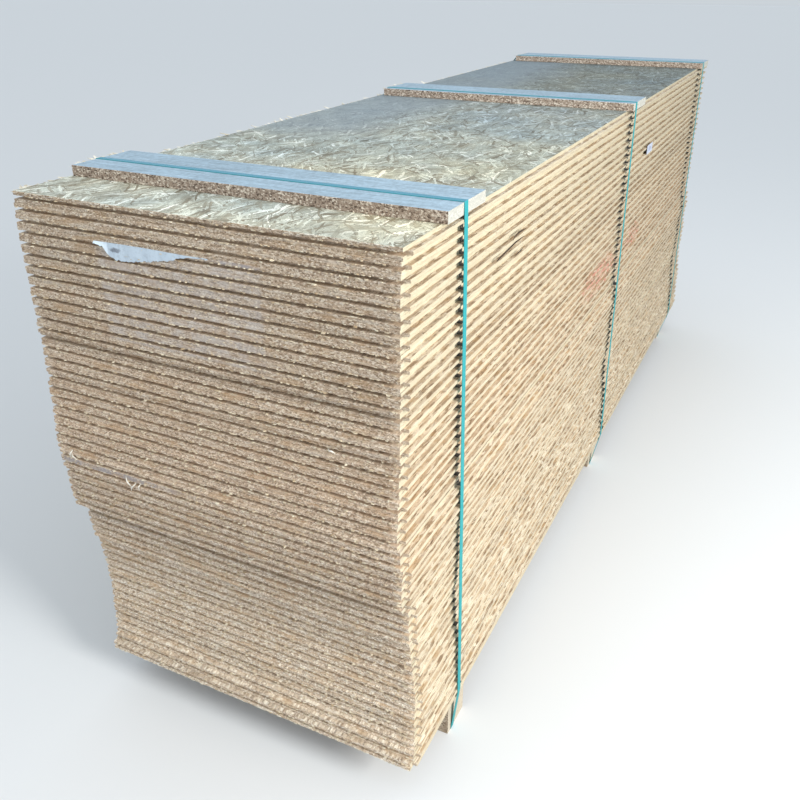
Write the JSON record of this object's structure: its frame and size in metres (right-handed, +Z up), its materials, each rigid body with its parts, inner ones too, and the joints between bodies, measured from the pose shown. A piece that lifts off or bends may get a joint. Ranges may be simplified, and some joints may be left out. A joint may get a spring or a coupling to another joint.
{
  "type": "stack of osb panels",
  "caption": "Strapped stack of tongue-and-groove OSB panels lying on three bearers, with a protective strip under each strap on top.",
  "frame": {"origin": "on the floor, in the middle of the stack's outline seen from above", "axes": "+Z up, +Y along the panels' length from the end that shows grooves to the end that shows tongues, +X across the stack towards the long side that shows tongues"},
  "size_m": [0.7096, 2.5608, 1.0352],
  "materials": {
    "osb": "matte pressed strands",
    "bearer_chipboard": "matte chipboard",
    "strip_chipboard": "matte chipboard",
    "strap_plastic": "satin embossed band"
  },
  "bodies": {
    "root": {"bearer_bottom_back": "bearer_chipboard", "bearer_bottom_front": "bearer_chipboard", "bearer_bottom_middle": "bearer_chipboard", "panel_01": "osb", "panel_02": "osb", "panel_03": "osb", "panel_04": "osb", "panel_05": "osb", "panel_06": "osb", "panel_07": "osb", "panel_08": "osb", "panel_09": "osb", "panel_10": "osb", "panel_11": "osb", "panel_12": "osb", "panel_13": "osb", "panel_14": "osb", "panel_15": "osb", "panel_16": "osb", "panel_17": "osb", "panel_18": "osb", "panel_19": "osb", "panel_20": "osb", "panel_21": "osb", "panel_22": "osb", "panel_23": "osb", "panel_24": "osb", "panel_25": "osb", "panel_26": "osb", "panel_27": "osb", "panel_28": "osb", "panel_29": "osb", "panel_30": "osb", "panel_31": "osb", "panel_32": "osb", "panel_33": "osb", "panel_34": "osb", "panel_35": "osb", "panel_36": "osb", "panel_37": "osb", "panel_38": "osb", "panel_39": "osb", "panel_40": "osb", "panel_41": "osb", "panel_42": "osb", "panel_43": "osb", "panel_44": "osb", "panel_45": "osb", "panel_46": "osb", "panel_47": "osb", "panel_48": "osb", "panel_49": "osb", "panel_50": "osb", "panel_51": "osb", "panel_52": "osb", "straps": "strap_plastic", "strip_top_back": "strip_chipboard", "strip_top_front": "strip_chipboard", "strip_top_middle": "strip_chipboard"}
  },
  "joints": []
}
